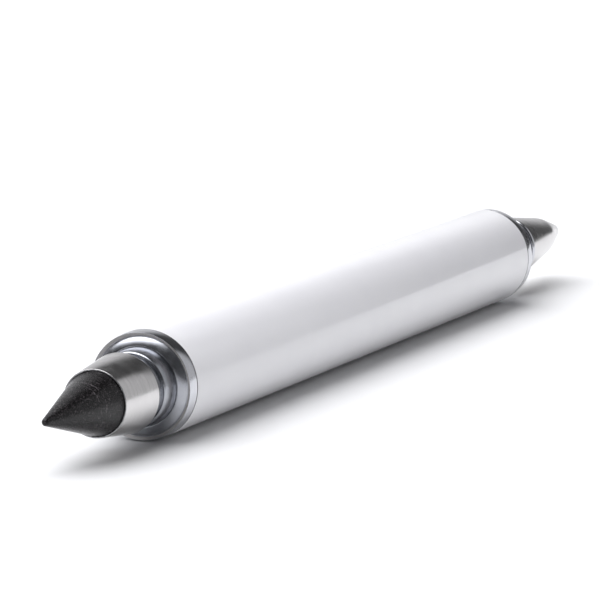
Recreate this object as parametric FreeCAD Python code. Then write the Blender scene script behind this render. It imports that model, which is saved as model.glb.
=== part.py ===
import FreeCAD, Part
import math
import os

# Clutch lead holder, lying on its barrel. The pen runs along X with the lead's
# point towards -X, the barrel rests on Z = 0, and the origin is under the middle
# of the overall length. Lengths are in millimetres.
# Stations along the pen are counted from the joint between the front collar and
# the barrel: negative towards the point, positive towards the button.

# barrel
barrel_diameter = 9.6
barrel_length = 83.0
barrel_wall = 0.6

# lead
lead_diameter = 5.6
lead_length = 80.0
lead_reach = 20.4
point_half_angle = 14.5
point_tip_radius = 0.35

# nose piece: cone, groove, hub and the shank that screws into the collar
nose_lip_wall = 0.11
nose_lip_station = -10.56
nose_half_angle = 6.4
nose_edge_station = -5.0
nose_edge_round = 0.3
nose_groove_wall = 0.19
nose_groove_depth = 0.27
hub_front_station = -3.35
hub_edge_round = 0.24
hub_taper = 0.21
hub_foot_station = -1.44
nose_shank_end = 5.4

# collars at both ends of the barrel
collar_band = 1.30
collar_taper = 0.10
collar_rim_width = 0.30
collar_rim_dip = 0.30
collar_foot_lip = 0.06
collar_face_crown = 0.05
collar_shank_length = 5.0
gasket_thickness = 0.14
gasket_width = 0.34
gasket_inset = 0.05

# clutch: jaws, their sleeve, and the seat that closes them
seat_front_station = 9.8
seat_length = 4.8
seat_half_angle = 6.5
jaw_head_length = 4.4
jaw_grip_length = 3.2
jaw_count = 3
jaw_slit = 0.6
jaw_wall = 0.42
jaw_relief = 0.1
jaw_root_gap = 0.05
jaw_root_station = 20.0
jaw_tooth_depth = 0.12
jaw_tooth_count = 4
jaw_open_angle = 1.4
sleeve_wall = 0.25
sleeve_length = 8.0
sleeve_overlap = 4.0
retainer_thickness = 0.6
retainer_groove_depth = 0.25
retainer_height = 0.55
retainer_gap = 2.4
washer_thickness = 0.4
washer_wall = 0.55

# return spring and the tube that carries the clutch
tube_wall = 0.3
tube_end_gap = 0.4
spring_length = 20.0
spring_wire = 0.36
spring_turns = 11
spring_seat_length = 2.0
plug_length = 4.4
plug_wall = 0.9
plug_step = 0.4
bumper_length = 0.9
bumper_recess = 0.5

# button at the rear
button_gap = 2.8
button_travel = 2.7
button_half_angle = 7.5
button_inset = 0.1
button_taper_length = 9.4
button_point_half_angle = 14.5
button_tip_radius = 0.8
button_edge_round = 0.3
bush_wall = 0.76
bush_length = 7.0
ring_section = 0.7

# clearances
running_clearance = 0.05
fitted_clearance = 0.02
seat_clearance = 0.06

barrel_radius = barrel_diameter / 2
bore_radius = barrel_radius - barrel_wall
lead_radius = lead_diameter / 2
lead_bore = lead_radius + running_clearance
tube_bore = lead_radius + 2 * running_clearance
tube_radius = tube_bore + tube_wall
sleeve_radius = tube_radius + sleeve_wall
groove_radius = lead_bore + nose_groove_wall
hub_front_radius = groove_radius + nose_groove_depth
hub_foot_radius = hub_front_radius + hub_taper
hub_end = barrel_length - hub_front_station
seat_back = seat_front_station + seat_length
washer_station = seat_back + retainer_thickness
spring_start = washer_station + washer_thickness
bush_start = hub_end - bush_length
tube_end = bush_start - tube_end_gap
plug_start = tube_end - plug_length
bumper_radius = tube_bore - plug_wall
stud_hole_radius = bumper_radius - plug_step
stem_radius = hub_front_radius - bush_wall - running_clearance
button_base = hub_end + button_gap
button_base_radius = hub_front_radius - button_inset


def run_out(radius_change, half_angle):
    """Length over which a cone changes its radius by this much."""
    return radius_change / math.tan(math.radians(half_angle))


def rise(length, half_angle):
    """Change of radius of a cone over this length."""
    return length * math.tan(math.radians(half_angle))


def turned(outline):
    """Solid of revolution about the pen's axis.

    Each outline entry is (station, radius), or (station, radius, via_station,
    via_radius) where the outline reaches the point along an arc.
    """
    edges = []
    last = outline[-1][:2]
    for entry in outline:
        start = FreeCAD.Vector(last[0], 0, last[1])
        end = FreeCAD.Vector(entry[0], 0, entry[1])
        if len(entry) == 4:
            via = FreeCAD.Vector(entry[2], 0, entry[3])
            edges.append(Part.Arc(start, via, end).toShape())
        elif start.distanceToPoint(end) > 1e-6:
            edges.append(Part.LineSegment(start, end).toShape())
        last = entry[:2]
    face = Part.Face(Part.Wire(edges))
    solid = face.revolve(FreeCAD.Vector(0, 0, 0), FreeCAD.Vector(1, 0, 0), 360)
    return solid.Solids[0]


def ring(start, end, inner, outer):
    """Plain ring between two stations."""
    return turned([(start, inner), (end, inner), (end, outer), (start, outer)])


def rounded(solid, station, radius, size):
    """Round the circular edge at this station and radius."""
    edges = []
    for edge in solid.Edges:
        if edge.Degenerated or edge.Curve.TypeId != "Part::GeomCircle":
            continue
        if abs(edge.Curve.Center.x - station) < 1e-4 and abs(edge.Curve.Radius - radius) < 1e-4:
            edges.append(edge)
    return solid.makeFillet(size, edges)


def rounded_tip(cone_base, radius, half_angle, tip_radius, direction):
    """Outline entries of a cone with a ball end, from its base to the axis."""
    angle = math.radians(half_angle)
    ball = cone_base + direction * (run_out(radius, half_angle) - tip_radius / math.sin(angle))
    tangent = (ball + direction * tip_radius * math.sin(angle), tip_radius * math.cos(angle))
    bend = (math.pi / 2 + angle) / 2
    via = (ball + direction * tip_radius * math.sin(bend), tip_radius * math.cos(bend))
    return [(cone_base, radius), tangent, (ball + direction * tip_radius, 0.0) + via]


def point_length(radius, half_angle, tip_radius):
    """Length of a cone with a ball end."""
    return run_out(radius, half_angle) - tip_radius / math.sin(math.radians(half_angle)) + tip_radius


def graphite_lead():
    base = -lead_reach + point_length(lead_radius, point_half_angle, point_tip_radius)
    outline = rounded_tip(base, lead_radius, point_half_angle, point_tip_radius, -1)
    end = -lead_reach + lead_length
    return turned(outline + [(end, 0.0), (end, lead_radius)])


def nose_cone():
    lip = lead_bore + nose_lip_wall
    edge = lip + rise(nose_edge_station - nose_lip_station, nose_half_angle)
    solid = turned([
        (nose_lip_station, lead_bore),
        (nose_shank_end, lead_bore),
        (nose_shank_end, hub_foot_radius - fitted_clearance),
        (hub_foot_station, hub_foot_radius - fitted_clearance),
        (hub_front_station, hub_front_radius),
        (hub_front_station, groove_radius),
        (nose_edge_station, groove_radius),
        (nose_edge_station, edge),
        (nose_lip_station, lip),
    ])
    solid = rounded(solid, nose_edge_station, edge, nose_edge_round)
    return rounded(solid, hub_front_station, hub_front_radius, hub_edge_round)


def collar():
    """Front collar: outer band, flat rim, sloping face, and the shank inside the barrel."""
    rim_outer = barrel_radius - collar_taper
    rim_inner = rim_outer - collar_rim_width
    rim_station = -collar_band + collar_rim_dip
    foot = hub_foot_radius + collar_foot_lip
    # the sloping face between foot and rim bulges forwards a little
    along, up = rim_station - hub_foot_station, rim_inner - foot
    bulge = collar_face_crown / math.hypot(along, up)
    crown_station = (rim_station + hub_foot_station) / 2 - bulge * up
    crown_radius = (rim_inner + foot) / 2 + bulge * along
    return turned([
        (0.0, barrel_radius),
        (-collar_band, rim_outer),
        (rim_station, rim_inner),
        (hub_foot_station, foot, crown_station, crown_radius),
        (hub_foot_station, hub_foot_radius),
        (collar_shank_length, hub_foot_radius),
        (collar_shank_length, bore_radius - fitted_clearance),
        (gasket_thickness, bore_radius - fitted_clearance),
        (gasket_thickness, barrel_radius - gasket_width - gasket_inset),
        (0.0, barrel_radius - gasket_width - gasket_inset),
    ])


def gasket():
    """Thin black ring that shows as the joint line between collar and barrel."""
    outer = barrel_radius - gasket_inset
    return ring(0.0, gasket_thickness, outer - gasket_width, outer)


def at_rear(solid):
    """The same piece at the rear end of the barrel, facing the other way."""
    turned_round = solid.copy()
    turned_round.rotate(FreeCAD.Vector(barrel_length / 2, 0, 0), FreeCAD.Vector(0, 0, 1), 180)
    return turned_round


def barrel():
    solid = ring(gasket_thickness, barrel_length - gasket_thickness, bore_radius, barrel_radius)
    groove = ring(seat_back, seat_back + retainer_thickness, bore_radius / 2, bore_radius + retainer_groove_depth)
    return solid.cut(groove)


def seat_bore(station):
    """Radius of the seat's closing cone at a station."""
    narrow = tube_bore + jaw_wall + seat_clearance
    return narrow + rise(seat_back - station, seat_half_angle)


def clutch_seat():
    outer = bore_radius - fitted_clearance
    return turned([
        (seat_front_station, seat_bore(seat_front_station)),
        (seat_back, seat_bore(seat_back)),
        (seat_back, outer),
        (seat_front_station, outer),
    ])


def seat_retainer():
    """Snap ring in the barrel's groove, with the gap that lets it be squeezed."""
    outer = bore_radius + retainer_groove_depth - fitted_clearance
    solid = ring(seat_back, seat_back + retainer_thickness, bore_radius - retainer_height, outer)
    gap = Part.makeBox(2 * seat_back, retainer_gap, barrel_diameter)
    gap.translate(FreeCAD.Vector(0, -retainer_gap / 2, 0))
    return solid.cut(gap).Solids[0]


def thrust_washer():
    outer = bore_radius - running_clearance
    return ring(washer_station, spring_start, outer - washer_wall, outer)


def half_coil(start, advance, side, wire):
    """Half a turn of wire from a point beside the axis, over the top or underneath."""
    centre = FreeCAD.Vector(start.x + advance / 2, 0, 0)
    towards = (centre - start).normalize()
    axis = FreeCAD.Vector(0, 0, side).cross(towards)
    section = Part.Face(Part.Wire([Part.makeCircle(wire, start, FreeCAD.Vector(0, 0, 1))]))
    return section.revolve(centre, axis, 180).Solids[0]


def return_spring():
    """Coil spring of half turns, the first and last of them flat against their seats."""
    wire = spring_wire / 2
    mean = bore_radius - running_clearance - 2 * fitted_clearance - wire
    halves = 2 * spring_turns
    advance = (spring_length - 2 * wire - 2 * fitted_clearance) / (halves - 2)
    station = spring_start + fitted_clearance + wire
    coils = []
    for number in range(halves):
        side = 1 if number % 2 == 0 else -1
        step = 0 if number in (0, halves - 1) else advance
        coils.append(half_coil(FreeCAD.Vector(station, side * mean, 0), step, side, wire))
        station += step
    return coils[0].multiFuse(coils[1:]).Solids[0]


def spring_seat():
    """Ring fixed on the tube, which the spring pushes towards the rear."""
    start = spring_start + spring_length
    return ring(start, start + spring_seat_length, tube_radius, bore_radius - running_clearance)


def collet_jaws():
    """Spring fingers of the clutch, cut from one turned blank by the slits."""
    front = seat_back - jaw_head_length
    root = jaw_root_station - jaw_root_gap
    head = tube_bore + jaw_wall
    stem = head - jaw_relief
    grip = lead_bore
    outline = [
        (front, grip),
        (front + jaw_grip_length, grip),
        (front + jaw_grip_length + tube_bore - grip, tube_bore),
        (root, tube_bore),
        (root, stem),
        (seat_back, stem),
        (seat_back, head),
        (front, seat_bore(front) - seat_clearance),
    ]
    blank = turned(outline)
    pitch = jaw_grip_length / jaw_tooth_count
    for tooth in range(jaw_tooth_count):
        middle = front + pitch * (tooth + 0.5)
        width = pitch * 0.3
        notch = turned([
            (middle - width, grip - jaw_tooth_depth),
            (middle + width, grip - jaw_tooth_depth),
            (middle + width, grip),
            (middle, grip + jaw_tooth_depth),
            (middle - width, grip),
        ])
        blank = blank.cut(notch)
    for number in range(jaw_count):
        slit = Part.makeBox(root - front + 2, jaw_slit, barrel_diameter)
        slit.translate(FreeCAD.Vector(front - 1, -jaw_slit / 2, 0))
        slit.rotate(FreeCAD.Vector(0, 0, 0), FreeCAD.Vector(1, 0, 0), (number + 0.5) * 360 / jaw_count)
        blank = blank.cut(slit)
    return blank.Solids


def jaw_number(solid):
    """Number of a jaw, counted round the axis from the top."""
    centre = solid.CenterOfMass
    turn = math.degrees(math.atan2(-centre.y, centre.z)) % 360
    return round(turn / (360 / jaw_count)) % jaw_count + 1


def collet_sleeve():
    start = jaw_root_station
    step = start + sleeve_length - sleeve_overlap
    end = start + sleeve_length
    return turned([
        (start, tube_bore),
        (step, tube_bore),
        (step, tube_radius),
        (end, tube_radius),
        (end, sleeve_radius),
        (start, sleeve_radius),
    ])


def push_tube():
    start = jaw_root_station + sleeve_length - sleeve_overlap
    return ring(start, tube_end, tube_bore, tube_radius)


def tube_plug():
    """Threaded plug in the tube's rear end, with a recess for the bumper."""
    return turned([
        (plug_start, bumper_radius),
        (plug_start + bumper_recess, bumper_radius),
        (plug_start + bumper_recess, stud_hole_radius),
        (tube_end, stud_hole_radius),
        (tube_end, tube_bore),
        (plug_start, tube_bore),
    ])


def lead_bumper():
    """Rubber pad that the end of a full lead meets."""
    end = plug_start + bumper_recess
    face = end - bumper_length
    solid = turned([(face, 0.0), (end, 0.0), (end, bumper_radius), (face, bumper_radius)])
    return rounded(solid, face, bumper_radius, (bumper_length - bumper_recess) / 2)


def guide_bush():
    """Bush that guides the button's stem, shaped outside like the front hub."""
    bore = stem_radius + running_clearance
    outer = hub_foot_radius - fitted_clearance
    groove_start = barrel_length - ring_section / 2 - fitted_clearance
    groove_end = barrel_length + ring_section / 2 + fitted_clearance
    groove_bottom = stem_radius + ring_section
    solid = turned([
        (bush_start, bore),
        (groove_start, bore),
        (groove_start, groove_bottom),
        (groove_end, groove_bottom),
        (groove_end, bore),
        (hub_end, bore),
        (hub_end, hub_front_radius),
        (barrel_length - hub_foot_station, outer),
        (bush_start, outer),
    ])
    return rounded(solid, hub_end, hub_front_radius, hub_edge_round)


def stem_ring():
    """Rubber ring in the bush, which steadies the stem."""
    section_radius = (ring_section - fitted_clearance) / 2
    centre = FreeCAD.Vector(barrel_length, 0, stem_radius + ring_section - section_radius)
    circle = Part.makeCircle(section_radius, centre, FreeCAD.Vector(0, 1, 0))
    face = Part.Face(Part.Wire([circle]))
    return face.revolve(FreeCAD.Vector(0, 0, 0), FreeCAD.Vector(1, 0, 0), 360).Solids[0]


def push_button():
    """Steel button: a long cone with a blunt point, a stem and a threaded stud."""
    shoulder = button_base + button_taper_length
    shoulder_radius = button_base_radius - rise(button_taper_length, button_half_angle)
    tip = rounded_tip(shoulder, shoulder_radius, button_point_half_angle, button_tip_radius, 1)
    stud = stud_hole_radius - fitted_clearance
    stud_end = plug_start + 2 * bumper_recess
    solid = turned(tip + [
        (stud_end, 0.0),
        (stud_end, stud),
        (tube_end, stud),
        (tube_end, stem_radius),
        (button_base, stem_radius),
        (button_base, button_base_radius),
    ])
    return rounded(solid, button_base, button_base_radius, button_edge_round)


def overall_end():
    """Station of the button's tip."""
    radius = button_base_radius - rise(button_taper_length, button_half_angle)
    length = point_length(radius, button_point_half_angle, button_tip_radius)
    return button_base + button_taper_length + length


def save(name, solid):
    placed = solid.copy()
    middle = (overall_end() - lead_reach) / 2
    placed.translate(FreeCAD.Vector(-middle, 0, barrel_radius))
    placed.exportStep(os.path.join("parts", name + ".step"))
    box = placed.BoundBox
    print(f"{name:16s} valid {placed.isValid()} volume {placed.Volume:8.2f}"
          f"  x {box.XMin:7.2f} {box.XMax:7.2f}  z {box.ZMin:5.2f} {box.ZMax:5.2f}")


def build():
    os.makedirs("parts", exist_ok=True)
    save("graphite_lead", graphite_lead())
    save("nose_cone", nose_cone())
    save("front_collar", collar())
    save("rear_collar", at_rear(collar()))
    save("front_gasket", gasket())
    save("rear_gasket", at_rear(gasket()))
    save("barrel", barrel())
    save("clutch_seat", clutch_seat())
    save("seat_retainer", seat_retainer())
    save("thrust_washer", thrust_washer())
    save("return_spring", return_spring())
    save("spring_seat", spring_seat())
    for jaw in collet_jaws():
        save(f"collet_jaw_{jaw_number(jaw)}", jaw)
    save("collet_sleeve", collet_sleeve())
    save("push_tube", push_tube())
    save("tube_plug", tube_plug())
    save("lead_bumper", lead_bumper())
    save("guide_bush", guide_bush())
    save("stem_ring", stem_ring())
    save("push_button", push_button())
    middle = (overall_end() - lead_reach) / 2
    print(f"overall length {overall_end() + lead_reach:.2f}, middle at station {middle:.3f}")
    print(f"jaw hinge station {jaw_root_station - middle:.3f}, radius {tube_bore + (jaw_wall - jaw_relief) / 2:.3f},"
          f" travel {button_travel}, opening {jaw_open_angle}")


build()
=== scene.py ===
import math

import bpy
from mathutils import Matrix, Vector


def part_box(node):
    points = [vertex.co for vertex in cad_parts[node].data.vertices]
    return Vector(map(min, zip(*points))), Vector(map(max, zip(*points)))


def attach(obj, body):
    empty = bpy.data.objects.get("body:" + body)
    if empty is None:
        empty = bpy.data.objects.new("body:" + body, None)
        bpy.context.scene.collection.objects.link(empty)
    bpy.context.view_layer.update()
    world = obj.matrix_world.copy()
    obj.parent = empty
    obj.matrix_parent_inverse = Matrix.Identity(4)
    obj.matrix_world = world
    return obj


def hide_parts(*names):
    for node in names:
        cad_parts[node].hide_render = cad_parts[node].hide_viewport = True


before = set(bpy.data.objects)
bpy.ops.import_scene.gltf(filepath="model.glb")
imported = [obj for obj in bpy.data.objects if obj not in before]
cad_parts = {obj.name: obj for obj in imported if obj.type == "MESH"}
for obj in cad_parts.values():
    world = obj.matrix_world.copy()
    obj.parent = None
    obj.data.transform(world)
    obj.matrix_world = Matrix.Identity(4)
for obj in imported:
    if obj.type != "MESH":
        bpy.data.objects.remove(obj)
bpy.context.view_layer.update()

mm = 0.001
barrelLow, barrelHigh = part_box("barrel")
axisHeight = (barrelLow.z + barrelHigh.z) / 2
barrelRadius = (barrelHigh.z - barrelLow.z) / 2
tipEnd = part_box("graphite_lead")[0].x
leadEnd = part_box("graphite_lead")[1].x
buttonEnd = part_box("push_button")[1].x
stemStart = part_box("push_button")[0].x
noseStart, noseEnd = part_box("nose_cone")[0].x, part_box("nose_cone")[1].x
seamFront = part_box("front_gasket")[0].x      # joint plane between front collar and barrel
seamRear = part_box("rear_gasket")[1].x
print("frame loaded, barrel radius", round(barrelRadius / mm, 3), "mm")

bpy.context.scene.view_settings.view_transform = "Standard"


# ways of building a material's nodes

def addNode(tree, kind, values=None, **settings):
    node = tree.nodes.new(kind)
    for key, value in settings.items():
        setattr(node, key, value)
    for key, value in (values or {}).items():
        node.inputs[key].default_value = value
    return node


def newMaterial(name, **shaderValues):
    material = bpy.data.materials.new(name)
    material.use_nodes = True
    tree = material.node_tree
    shader = tree.nodes["Principled BSDF"]
    for key, value in shaderValues.items():
        shader.inputs[key.replace("_", " ")].default_value = value
    return material, tree, shader


def objectPlace(tree):
    # object coordinates with the pen's axis at height zero, in millimetres
    place = addNode(tree, "ShaderNodeTexCoord")
    mapping = addNode(tree, "ShaderNodeMapping")
    mapping.inputs["Location"].default_value = (0, 0, -axisHeight / mm)
    mapping.inputs["Scale"].default_value = (1 / mm, 1 / mm, 1 / mm)
    tree.links.new(place.outputs["Object"], mapping.inputs["Vector"])
    return mapping.outputs["Vector"]


def stretchedPlace(tree, vector, scale):
    mapping = addNode(tree, "ShaderNodeMapping")
    mapping.inputs["Scale"].default_value = scale
    tree.links.new(vector, mapping.inputs["Vector"])
    return mapping.outputs["Vector"]


def noise(tree, vector, scale, detail=2.0, roughness=0.5):
    node = addNode(tree, "ShaderNodeTexNoise", {"Scale": scale, "Detail": detail, "Roughness": roughness})
    tree.links.new(vector, node.inputs["Vector"])
    return node.outputs["Fac"]


def ramp(tree, factor, stops):
    node = addNode(tree, "ShaderNodeValToRGB")
    elements = node.color_ramp.elements
    while len(elements) < len(stops):
        elements.new(0.5)
    for element, (place, colour) in zip(elements, stops):
        element.position = place
        element.color = (*colour, 1)
    tree.links.new(factor, node.inputs["Fac"])
    return node.outputs["Color"]


def span(tree, factor, low, high, fromLow=0.3, fromHigh=0.7):
    node = addNode(tree, "ShaderNodeMapRange", {
        "From Min": fromLow, "From Max": fromHigh, "To Min": low, "To Max": high})
    tree.links.new(factor, node.inputs["Value"])
    return node.outputs["Result"]


def combine(tree, first, second, operation="ADD"):
    node = addNode(tree, "ShaderNodeMath", operation=operation)
    for socket, source in zip(node.inputs, (first, second)):
        if isinstance(source, (int, float)):
            socket.default_value = source
        else:
            tree.links.new(source, socket)
    return node.outputs["Value"]


def bump(tree, shader, height, strength, depth):
    node = addNode(tree, "ShaderNodeBump", {"Strength": strength, "Distance": depth})
    tree.links.new(height, node.inputs["Height"])
    tree.links.new(node.outputs["Normal"], shader.inputs["Normal"])


def ringNoise(tree, vector, scale, detail):
    # fine lines round the axis, as a turning tool leaves them
    return noise(tree, stretchedPlace(tree, vector, (1, 0.02, 0.02)), scale, detail, 0.6)


# finishes

def makeWhiteLacquer():
    material, tree, shader = newMaterial(
        "whiteLacquer", Roughness=0.35, Coat_Weight=0.6, Coat_Roughness=0.08)
    place = objectPlace(tree)
    cloud = noise(tree, place, 0.25, 1)
    colour = ramp(tree, cloud, [(0.2, (0.80, 0.795, 0.82)), (0.8, (0.825, 0.82, 0.84))])
    tree.links.new(colour, shader.inputs["Base Color"])
    ripple = noise(tree, stretchedPlace(tree, place, (0.35, 1, 1)), 0.9, 1)
    tree.links.new(span(tree, ripple, 0.32, 0.4), shader.inputs["Roughness"])
    bump(tree, shader, ripple, 0.02, 0.02 * mm)
    return material


def makeMirrorSteel():
    material, tree, shader = newMaterial("mirrorSteel", Metallic=1.0, Roughness=0.14)
    place = objectPlace(tree)
    haze = noise(tree, place, 1.1, 3)
    colour = ramp(tree, haze, [(0.3, (0.57, 0.575, 0.61)), (0.7, (0.63, 0.635, 0.665))])
    tree.links.new(colour, shader.inputs["Base Color"])
    lines = ringNoise(tree, place, 20, 2)
    tree.links.new(span(tree, haze, 0.12, 0.2), shader.inputs["Roughness"])
    bump(tree, shader, lines, 0.03, 0.002 * mm)
    return material


def makeBrushedSteel():
    material, tree, shader = newMaterial("brushedSteel", Metallic=1.0, Roughness=0.3)
    place = objectPlace(tree)
    haze = noise(tree, place, 1.3, 2)
    colour = ramp(tree, haze, [(0.3, (0.36, 0.37, 0.40)), (0.7, (0.42, 0.43, 0.46))])
    tree.links.new(colour, shader.inputs["Base Color"])
    tree.links.new(span(tree, haze, 0.2, 0.27), shader.inputs["Roughness"])
    bump(tree, shader, ringNoise(tree, place, 20, 2), 0.05, 0.003 * mm)
    return material


def makeLipSteel():
    # bare edge round the lead, dulled by graphite dust
    material, tree, shader = newMaterial("lipSteel", Metallic=1.0, Roughness=0.45)
    place = objectPlace(tree)
    dust = noise(tree, place, 5, 4, 0.7)
    tree.links.new(ramp(tree, dust, [(0.35, (0.16, 0.16, 0.165)), (0.65, (0.45, 0.45, 0.46))]),
                   shader.inputs["Base Color"])
    tree.links.new(span(tree, dust, 0.5, 0.38), shader.inputs["Roughness"])
    return material


def makeSatinRim():
    material, tree, shader = newMaterial("satinRim", Metallic=0.55, Roughness=0.5)
    place = objectPlace(tree)
    grain = noise(tree, place, 22, 3)
    colour = ramp(tree, grain, [(0.3, (0.50, 0.48, 0.47)), (0.7, (0.64, 0.62, 0.605))])
    tree.links.new(colour, shader.inputs["Base Color"])
    tree.links.new(span(tree, grain, 0.42, 0.6), shader.inputs["Roughness"])
    bump(tree, shader, grain, 0.3, 0.01 * mm)
    return material


def makeTurnedSteel():
    material, tree, shader = newMaterial("turnedSteel", Metallic=1.0, Roughness=0.25)
    place = objectPlace(tree)
    fine = ringNoise(tree, place, 14, 3)
    grain = noise(tree, stretchedPlace(tree, place, (1, 0.2, 0.2)), 20, 2)
    lines = combine(tree, combine(tree, fine, 0.7, "MULTIPLY"), combine(tree, grain, 0.3, "MULTIPLY"))
    colour = ramp(tree, lines, [(0.3, (0.58, 0.57, 0.57)), (0.7, (0.71, 0.695, 0.69))])
    tree.links.new(colour, shader.inputs["Base Color"])
    patches = noise(tree, place, 0.9, 1)
    tree.links.new(span(tree, patches, 0.18, 0.25), shader.inputs["Roughness"])
    bump(tree, shader, lines, 0.2, 0.004 * mm)
    return material


leadMarks = [(6.9, 0.08), (7.5, 0.12), (8.1, 0.07)]     # distance behind the point, half width, in mm


def makeGraphite():
    material, tree, shader = newMaterial("graphite", Roughness=0.3, Specular_IOR_Level=0.25)
    place = objectPlace(tree)
    grains = noise(tree, place, 5.0, 6, 0.8)
    speckle = noise(tree, place, 11.0, 2)
    flakes = noise(tree, place, 6.5, 3, 0.6)
    # sharpening marks: a few broken lines round the cone
    away = addNode(tree, "ShaderNodeSeparateXYZ")
    tree.links.new(place, away.inputs["Vector"])
    scuff = None
    for distance, width in leadMarks:
        offset = combine(tree, away.outputs["X"], (tipEnd / mm) + distance, "SUBTRACT")
        offset = combine(tree, offset, span(tree, noise(tree, place, 0.8, 1), -0.12, 0.12), "ADD")
        line = span(tree, combine(tree, offset, 0.0, "ABSOLUTE"), 1.0, 0.0, 0.0, width)
        scuff = line if scuff is None else combine(tree, scuff, line, "MAXIMUM")
    broken = span(tree, noise(tree, place, 1.6, 4, 0.8), 0.02, 0.2, 0.46, 0.62)
    scuff = combine(tree, scuff, broken, "MULTIPLY")
    mixed = combine(tree, combine(tree, grains, 0.6, "MULTIPLY"), combine(tree, flakes, 0.4, "MULTIPLY"))
    shade = combine(tree, mixed, scuff, "ADD")
    colour = ramp(tree, shade, [(0.4, (0.0003, 0.0003, 0.0003)), (0.48, (0.0015, 0.0013, 0.0014)),
                                (0.55, (0.014, 0.012, 0.013)), (0.62, (0.08, 0.073, 0.077))])
    tree.links.new(colour, shader.inputs["Base Color"])
    tree.links.new(span(tree, speckle, 0.18, 0.3), shader.inputs["Roughness"])
    bump(tree, shader, combine(tree, mixed, combine(tree, speckle, 0.3, "MULTIPLY")), 0.7, 0.05 * mm)
    return material


def makeInnerMetal(name, dark, light, roughness):
    material, tree, shader = newMaterial(name, Metallic=1.0, Roughness=roughness)
    place = objectPlace(tree)
    lines = ringNoise(tree, place, 12, 3)
    tree.links.new(ramp(tree, lines, [(0.3, dark), (0.7, light)]), shader.inputs["Base Color"])
    tree.links.new(span(tree, noise(tree, place, 2.0, 3), roughness * 0.8, roughness * 1.3),
                   shader.inputs["Roughness"])
    bump(tree, shader, lines, 0.2, 0.006 * mm)
    return material


def makeBlackRubber():
    material, tree, shader = newMaterial("blackRubber", Roughness=0.7)
    place = objectPlace(tree)
    grain = noise(tree, place, 18, 3)
    tree.links.new(ramp(tree, grain, [(0.3, (0.012, 0.012, 0.013)), (0.7, (0.028, 0.028, 0.03))]),
                   shader.inputs["Base Color"])
    tree.links.new(span(tree, grain, 0.6, 0.8), shader.inputs["Roughness"])
    bump(tree, shader, grain, 0.2, 0.01 * mm)
    return material


whiteLacquer = makeWhiteLacquer()
mirrorSteel = makeMirrorSteel()
satinRim = makeSatinRim()
brushedSteel = makeBrushedSteel()
lipSteel = makeLipSteel()
turnedSteel = makeTurnedSteel()
graphite = makeGraphite()
blackRubber = makeBlackRubber()
brass = makeInnerMetal("machinedBrass", (0.50, 0.33, 0.12), (0.66, 0.46, 0.19), 0.25)
springSteel = makeInnerMetal("springSteel", (0.22, 0.23, 0.25), (0.36, 0.37, 0.40), 0.3)
print("finishes ready")


# lathe work: an outline is drawn point by point beside the axis, then spun

latheSizes = {
    "weld": 0.0005 * mm,        # points closer than this are merged
    "edgeSegments": 5,
    "smoothAngle": 22,          # degrees, edges sharper than this stay crisp
    "tipSteps": 8,
}
paintMargin = 0.01 * mm


def selectPoint(mesh, x, radius):
    bpy.ops.mesh.select_all(action="DESELECT")
    bpy.ops.object.mode_set(mode="OBJECT")
    spot = Vector((x, 0, axisHeight + radius))
    nearest = min(mesh.vertices, key=lambda vertex: (vertex.co - spot).length)
    nearest.select = True
    bpy.ops.object.mode_set(mode="EDIT")


def arcPoints(start, via, end, steps):
    # points from start to end on the circle through all three
    (ax, ay), (bx, by), (cx, cy) = start, via, end
    aSquare, bSquare, cSquare = ax * ax + ay * ay, bx * bx + by * by, cx * cx + cy * cy
    twist = 2 * (ax * (by - cy) + bx * (cy - ay) + cx * (ay - by))
    centreX = (aSquare * (by - cy) + bSquare * (cy - ay) + cSquare * (ay - by)) / twist
    centreY = (aSquare * (cx - bx) + bSquare * (ax - cx) + cSquare * (bx - ax)) / twist
    radius = math.hypot(ax - centreX, ay - centreY)
    first = math.atan2(ay - centreY, ax - centreX)
    middle = math.atan2(by - centreY, bx - centreX)
    last = math.atan2(cy - centreY, cx - centreX)
    turn = (last - first) % (2 * math.pi)
    if (middle - first) % (2 * math.pi) > turn:
        turn -= 2 * math.pi
    angles = [first + turn * step / steps for step in range(1, steps)]
    return [(centreX + radius * math.cos(angle), centreY + radius * math.sin(angle)) for angle in angles]


def turnPiece(name, outline, steps, rounds=()):
    # outline: (x, radius) in metres; rounds: (x, radius, size) of the corners to ease
    bpy.ops.object.select_all(action="DESELECT")
    startX, startRadius = outline[0]
    bpy.ops.mesh.primitive_plane_add(size=mm, location=(startX, 0, axisHeight + startRadius))
    piece = bpy.context.object
    piece.name = name
    piece.data.name = name
    bpy.ops.object.mode_set(mode="EDIT")
    bpy.ops.mesh.select_all(action="SELECT")
    bpy.ops.mesh.merge(type="CENTER")
    lastX, lastRadius = startX, startRadius
    for x, radius in outline[1:] + [outline[0]]:
        bpy.ops.mesh.extrude_vertices_move(
            TRANSFORM_OT_translate={"value": (x - lastX, 0, radius - lastRadius)})
        lastX, lastRadius = x, radius
    bpy.ops.mesh.select_all(action="SELECT")
    bpy.ops.mesh.remove_doubles(threshold=latheSizes["weld"])
    bpy.ops.object.mode_set(mode="OBJECT")
    bpy.ops.object.transform_apply(location=True, rotation=True, scale=True)
    bpy.ops.object.mode_set(mode="EDIT")
    for x, radius, size in rounds:
        selectPoint(piece.data, x, radius)
        bpy.ops.mesh.bevel(offset=size, segments=latheSizes["edgeSegments"], affect="VERTICES")
    bpy.ops.mesh.select_all(action="SELECT")
    bpy.ops.mesh.spin(steps=steps, angle=2 * math.pi, center=(0, 0, axisHeight), axis=(1, 0, 0))
    bpy.ops.mesh.select_all(action="SELECT")
    bpy.ops.mesh.remove_doubles(threshold=latheSizes["weld"])
    bpy.ops.mesh.normals_make_consistent(inside=False)
    bpy.ops.object.mode_set(mode="OBJECT")
    bpy.ops.object.shade_smooth_by_angle(angle=math.radians(latheSizes["smoothAngle"]))
    return piece


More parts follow.
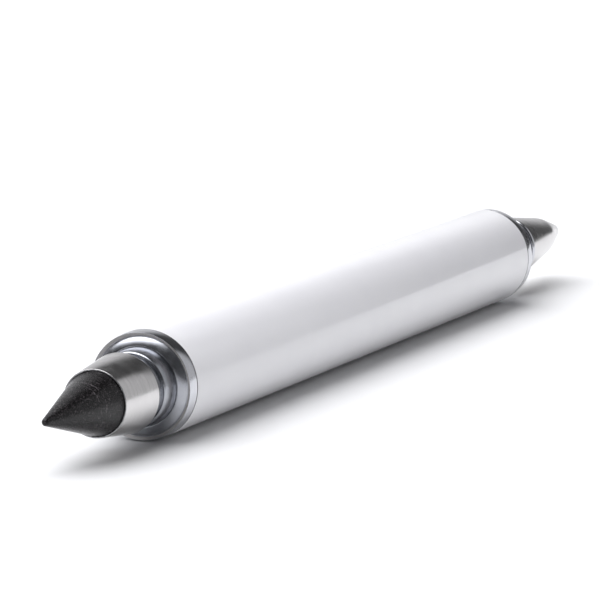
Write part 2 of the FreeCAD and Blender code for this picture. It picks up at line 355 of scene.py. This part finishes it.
def copyToRear(piece, name):
    # the same piece with its own mesh, turned end for end about the middle of the barrel
    bpy.ops.object.select_all(action="DESELECT")
    bpy.context.view_layer.objects.active = piece
    piece.select_set(True)
    bpy.ops.object.duplicate()
    twin = bpy.context.object
    twin.name = name
    twin.data.name = name
    bpy.ops.object.mode_set(mode="EDIT")
    bpy.ops.mesh.select_all(action="SELECT")
    middle = ((seamFront + seamRear) / 2, 0, axisHeight)
    bpy.ops.transform.rotate(value=math.pi, orient_axis="Z", center_override=middle)
    bpy.ops.object.mode_set(mode="OBJECT")
    return twin


def assignPiece(piece, body, node):
    # comes after any copy is taken, because a copy would inherit it
    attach(piece, body)
    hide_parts(node)


def paint(piece, *materials):
    piece.data.materials.clear()
    for material in materials:
        piece.data.materials.append(material)


def paintFaces(piece, index, chosen):
    for face in piece.data.polygons:
        centre = face.center
        radius = math.hypot(centre.y, centre.z - axisHeight)
        if chosen(centre.x, radius, face.normal):
            face.material_index = index


# barrel

barrelSizes = {"wall": 0.6 * mm, "edge": 0.015 * mm, "steps": 224}


def makeBarrel():
    start, end = barrelLow.x, barrelHigh.x
    bore = barrelRadius - barrelSizes["wall"]
    outline = [(start, bore), (end, bore), (end, barrelRadius), (start, barrelRadius)]
    rounds = [(end, barrelRadius, barrelSizes["edge"]), (start, barrelRadius, barrelSizes["edge"])]
    piece = turnPiece("whiteTube", outline, barrelSizes["steps"], rounds)
    paint(piece, whiteLacquer)
    assignPiece(piece, "barrel", "barrel")
    print("barrel turned")


# front collar, and the same one turned round at the rear

collarSizes = {
    "band": 1.30 * mm, "taper": 0.10 * mm, "rimWidth": 0.30 * mm, "rimDip": 0.30 * mm,
    "footLip": 0.06 * mm, "crown": 0.05 * mm, "footRadius": 3.52 * mm, "footReach": 1.44 * mm,
    "shank": 5.0 * mm, "shankRadius": 4.18 * mm, "recess": 0.14 * mm, "recessRadius": 4.41 * mm,
    "bandEdge": 0.02 * mm, "rimEdge": 0.03 * mm, "faceSteps": 16, "steps": 192,
    # satin part of the rim: shares of the band and of the dip, and how far it faces forward
    "satinFront": 0.985, "satinBack": 0.07, "satinFacing": 0.4,
}


def makeCollars():
    sizes = collarSizes
    rimOuter = barrelRadius - sizes["taper"]
    rimInner = rimOuter - sizes["rimWidth"]

    def at(reach, radius):
        return (seamFront - reach, radius)

    # the sloping face between foot and rim bulges outwards a little
    rimReach = sizes["band"] - sizes["rimDip"]
    foot = sizes["footRadius"] + sizes["footLip"]
    across, up = sizes["footReach"] - rimReach, rimInner - foot
    bulge = sizes["crown"] / math.hypot(across, up)
    rimFoot = at(rimReach, rimInner)
    crown = at((rimReach + sizes["footReach"]) / 2 + bulge * up, (rimInner + foot) / 2 + bulge * across)
    faceEnd = at(sizes["footReach"], foot)
    outline = [
        at(0, barrelRadius),
        at(sizes["band"], rimOuter),
        rimFoot,
        *arcPoints(rimFoot, crown, faceEnd, sizes["faceSteps"]),
        faceEnd,
        at(sizes["footReach"], sizes["footRadius"]),
        at(-sizes["shank"], sizes["footRadius"]),
        at(-sizes["shank"], sizes["shankRadius"]),
        at(-sizes["recess"], sizes["shankRadius"]),
        at(-sizes["recess"], sizes["recessRadius"]),
        at(0, sizes["recessRadius"]),
    ]
    rounds = [
        (*at(0, barrelRadius), sizes["bandEdge"]),
        (*at(sizes["band"], rimOuter), sizes["rimEdge"]),
        (*rimFoot, sizes["rimEdge"]),
    ]
    front = turnPiece("frontCollar", outline, sizes["steps"], rounds)
    paint(front, mirrorSteel, satinRim, brushedSteel)
    paintFaces(front, 2, lambda x, radius, normal: radius <= rimInner + paintMargin)
    low = seamFront - sizes["band"] * sizes["satinFront"]
    high = rimFoot[0] - sizes["rimDip"] * sizes["satinBack"]
    paintFaces(front, 1, lambda x, radius, normal: low < x < high
               and rimInner < radius < rimOuter and abs(normal.x) > sizes["satinFacing"])
    rear = copyToRear(front, "rearCollar")
    assignPiece(front, "barrel", "front_collar")
    assignPiece(rear, "barrel", "rear_collar")
    print("collars turned")


# thin dark rings between the collars and the barrel

jointSizes = {"inset": 0.01 * mm, "width": 0.37 * mm, "steps": 160}


def makeJointRings():
    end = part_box("front_gasket")[1].x
    outer = barrelRadius - jointSizes["inset"]
    inner = outer - jointSizes["width"]
    outline = [(seamFront, inner), (end, inner), (end, outer), (seamFront, outer)]
    front = turnPiece("frontJointRing", outline, jointSizes["steps"])
    paint(front, blackRubber)
    rear = copyToRear(front, "rearJointRing")
    assignPiece(front, "barrel", "front_gasket")
    assignPiece(rear, "barrel", "rear_gasket")
    print("joint rings turned")


# nose piece: cone, groove, hub and shank

noseSizes = {
    "bore": 2.85 * mm, "lipWall": 0.11 * mm, "halfAngle": 6.4,
    "edgeReach": 5.0 * mm, "edgeRound": 0.22 * mm, "grooveRadius": 3.04 * mm,
    "hubReach": 3.35 * mm, "hubRadius": 3.31 * mm, "hubRound": 0.16 * mm,
    "footReach": 1.44 * mm, "shankRadius": 3.50 * mm, "lipEdge": 0.03 * mm, "steps": 192,
}


def makeNose():
    sizes = noseSizes
    lip = sizes["bore"] + sizes["lipWall"]
    edgeX = seamFront - sizes["edgeReach"]
    edge = lip + (edgeX - noseStart) * math.tan(math.radians(sizes["halfAngle"]))
    hubX = seamFront - sizes["hubReach"]
    footX = seamFront - sizes["footReach"]
    outline = [
        (noseStart, sizes["bore"]),
        (noseEnd, sizes["bore"]),
        (noseEnd, sizes["shankRadius"]),
        (footX, sizes["shankRadius"]),
        (hubX, sizes["hubRadius"]),
        (hubX, sizes["grooveRadius"]),
        (edgeX, sizes["grooveRadius"]),
        (edgeX, edge),
        (noseStart, lip),
    ]
    rounds = [
        (edgeX, edge, sizes["edgeRound"]),
        (hubX, sizes["hubRadius"], sizes["hubRound"]),
        (noseStart, lip, sizes["lipEdge"]),
    ]
    piece = turnPiece("steelNose", outline, sizes["steps"], rounds)
    paint(piece, turnedSteel, brushedSteel, lipSteel)
    paintFaces(piece, 1, lambda x, radius, normal: x > edgeX - 2 * paintMargin)
    paintFaces(piece, 2, lambda x, radius, normal: x < noseStart + paintMargin and normal.x < -0.9)
    assignPiece(piece, "barrel", "nose_cone")
    print("nose turned")


# lead with its sharpened point

leadSizes = {
    "radius": 2.8 * mm, "halfAngle": 14.5, "tipRadius": 0.35 * mm, "endEdge": 0.1 * mm, "steps": 192,
}


def ballCone(tip, outward, baseRadius, halfAngle, tipRadius):
    # outline from the cone's base to the ball end on the axis
    angle = math.radians(halfAngle)
    ballX = tip - outward * tipRadius
    tangentX = ballX + outward * tipRadius * math.sin(angle)
    tangentRadius = tipRadius * math.cos(angle)
    baseX = tangentX - outward * (baseRadius - tangentRadius) / math.tan(angle)
    points = [(baseX, baseRadius), (tangentX, tangentRadius)]
    steps = latheSizes["tipSteps"]
    for step in range(1, steps + 1):
        turn = angle + (math.pi / 2 - angle) * step / steps
        points.append((ballX + outward * tipRadius * math.sin(turn), tipRadius * max(math.cos(turn), 0)))
    return points


def makeLead():
    sizes = leadSizes
    point = ballCone(tipEnd, -1, sizes["radius"], sizes["halfAngle"], sizes["tipRadius"])
    outline = point + [(leadEnd, 0), (leadEnd, sizes["radius"])]
    rounds = [(leadEnd, sizes["radius"], sizes["endEdge"])]
    piece = turnPiece("leadStick", outline, sizes["steps"], rounds)
    paint(piece, graphite)
    assignPiece(piece, "lead", "graphite_lead")
    print("lead turned")


# bush at the rear, shaped outside like the front hub

bushSizes = {"bore": 2.55 * mm, "boreEdge": 0.1 * mm, "steps": 160}


def makeBush():
    start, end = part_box("guide_bush")[0].x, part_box("guide_bush")[1].x
    footX = seamRear + noseSizes["footReach"]
    bore = bushSizes["bore"]
    outline = [
        (start, bore), (end, bore), (end, noseSizes["hubRadius"]),
        (footX, noseSizes["shankRadius"]), (start, noseSizes["shankRadius"]),
    ]
    rounds = [(end, noseSizes["hubRadius"], noseSizes["hubRound"]), (end, bore, bushSizes["boreEdge"])]
    piece = turnPiece("rearBush", outline, bushSizes["steps"], rounds)
    paint(piece, mirrorSteel)
    assignPiece(piece, "barrel", "guide_bush")
    print("bush turned")


# push button with its stem and stud

buttonSizes = {
    "baseRadius": 3.21 * mm, "taper": 9.4 * mm, "taperAngle": 7.5, "pointAngle": 14.5,
    "tipRadius": 0.8 * mm, "edgeRound": 0.3 * mm, "stemRadius": 2.5 * mm, "gap": 2.8 * mm,
    "studRadius": 1.58 * mm, "studLength": 3.4 * mm, "shoulderRound": 0.6 * mm, "steps": 192,
    "polishedBase": 0.27 * mm,      # the stem and this much of the cone are polished
}


def makeButton():
    sizes = buttonSizes
    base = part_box("guide_bush")[1].x + sizes["gap"]
    shoulder = sizes["baseRadius"] - sizes["taper"] * math.tan(math.radians(sizes["taperAngle"]))
    point = ballCone(buttonEnd, 1, shoulder, sizes["pointAngle"], sizes["tipRadius"])
    studStep = stemStart + sizes["studLength"]
    outline = point + [
        (stemStart, 0), (stemStart, sizes["studRadius"]), (studStep, sizes["studRadius"]),
        (studStep, sizes["stemRadius"]), (base, sizes["stemRadius"]), (base, sizes["baseRadius"]),
    ]
    rounds = [
        (base, sizes["baseRadius"], sizes["edgeRound"]),
        (point[0][0], shoulder, sizes["shoulderRound"]),
    ]
    piece = turnPiece("steelButton", outline, sizes["steps"], rounds)
    paint(piece, turnedSteel, mirrorSteel)
    paintFaces(piece, 1, lambda x, radius, normal: x < base + sizes["polishedBase"])
    assignPiece(piece, "clutch_rod", "push_button")
    print("button turned")


makeBarrel()
makeCollars()
makeJointRings()
makeNose()
makeLead()
makeBush()
makeButton()

innerFinishes = {
    "clutch_seat": brass, "spring_seat": brass, "collet_jaw_1": brass, "collet_jaw_2": brass,
    "collet_jaw_3": brass, "collet_sleeve": brass, "push_tube": brass, "tube_plug": brass,
    "seat_retainer": springSteel, "thrust_washer": springSteel, "return_spring": springSteel,
    "lead_bumper": blackRubber, "stem_ring": blackRubber,
}
for nodeName, material in innerFinishes.items():
    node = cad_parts[nodeName]
    for slot in node.material_slots:
        slot.material = material
print("inner pieces finished")


# studio: pale floor, soft light from above and behind, camera low beside the point

studioSizes = {"floor": 6.0, "fill": 0.06}
# heading and height of the middle, where it starts and is full (degrees away from it), strength
worldGlows = [
    ((108, 67), 46, 28, 4.4),
    ((25, 6), 30, 6, 0.68),
    ((-62, 13), 43, 35, 0.52),
]
cameraSizes = {
    "lens": 294.4, "sensor": 36, "heading": 22.63, "down": 8.77,
    "place": (-0.4211, -0.1725, 0.0764), "near": 0.01, "far": 20,
}


def makeFloor():
    bpy.ops.object.select_all(action="DESELECT")
    bpy.ops.mesh.primitive_plane_add(size=studioSizes["floor"], location=(0, 0, 0))
    floor = bpy.context.object
    floor.name = "paleFloor"
    material, tree, shader = newMaterial("paleFloor", Roughness=0.6)
    cloud = noise(tree, addNode(tree, "ShaderNodeTexCoord").outputs["Object"], 6.0, 2)
    tree.links.new(ramp(tree, cloud, [(0.3, (0.75, 0.75, 0.75)), (0.7, (0.77, 0.77, 0.77))]),
                   shader.inputs["Base Color"])
    floor.data.materials.append(material)


def makeWorld():
    world = bpy.data.worlds.new("studio")
    bpy.context.scene.world = world
    world.use_nodes = True
    tree = world.node_tree
    direction = addNode(tree, "ShaderNodeTexCoord").outputs["Generated"]

    def glow(toward, low, high, strength):
        # soft round patch of light around one direction
        heading, height = (math.radians(angle) for angle in toward)
        flat = math.cos(height)
        aim = (math.cos(heading) * flat, math.sin(heading) * flat, math.sin(height))
        dot = addNode(tree, "ShaderNodeVectorMath", {1: aim}, operation="DOT_PRODUCT")
        tree.links.new(direction, dot.inputs[0])
        patch = addNode(tree, "ShaderNodeMapRange", {
            "From Min": math.cos(math.radians(low)), "From Max": math.cos(math.radians(high)),
            "To Min": 0.0, "To Max": strength}, interpolation_type="SMOOTHSTEP")
        tree.links.new(dot.outputs["Value"], patch.inputs["Value"])
        return patch.outputs["Result"]

    total = glow(*worldGlows[0])
    for patch in worldGlows[1:]:
        total = combine(tree, total, glow(*patch))
    total = combine(tree, total, studioSizes["fill"])
    background = tree.nodes["Background"]
    background.inputs["Color"].default_value = (0.97, 0.975, 1, 1)
    tree.links.new(total, background.inputs["Strength"])


def makeCamera():
    camera = bpy.data.cameras.new("camera")
    camera.lens = cameraSizes["lens"]
    camera.sensor_width = cameraSizes["sensor"]
    holder = bpy.data.objects.new("camera", camera)
    bpy.context.scene.collection.objects.link(holder)
    heading, down = math.radians(cameraSizes["heading"]), math.radians(cameraSizes["down"])
    flat = math.cos(down)
    forward = Vector((math.cos(heading) * flat, math.sin(heading) * flat, -math.sin(down)))
    holder.location = cameraSizes["place"]
    holder.rotation_euler = forward.to_track_quat("-Z", "Y").to_euler()
    camera.clip_start, camera.clip_end = cameraSizes["near"], cameraSizes["far"]
    bpy.context.scene.camera = holder


makeFloor()
makeWorld()
makeCamera()
print("studio ready")
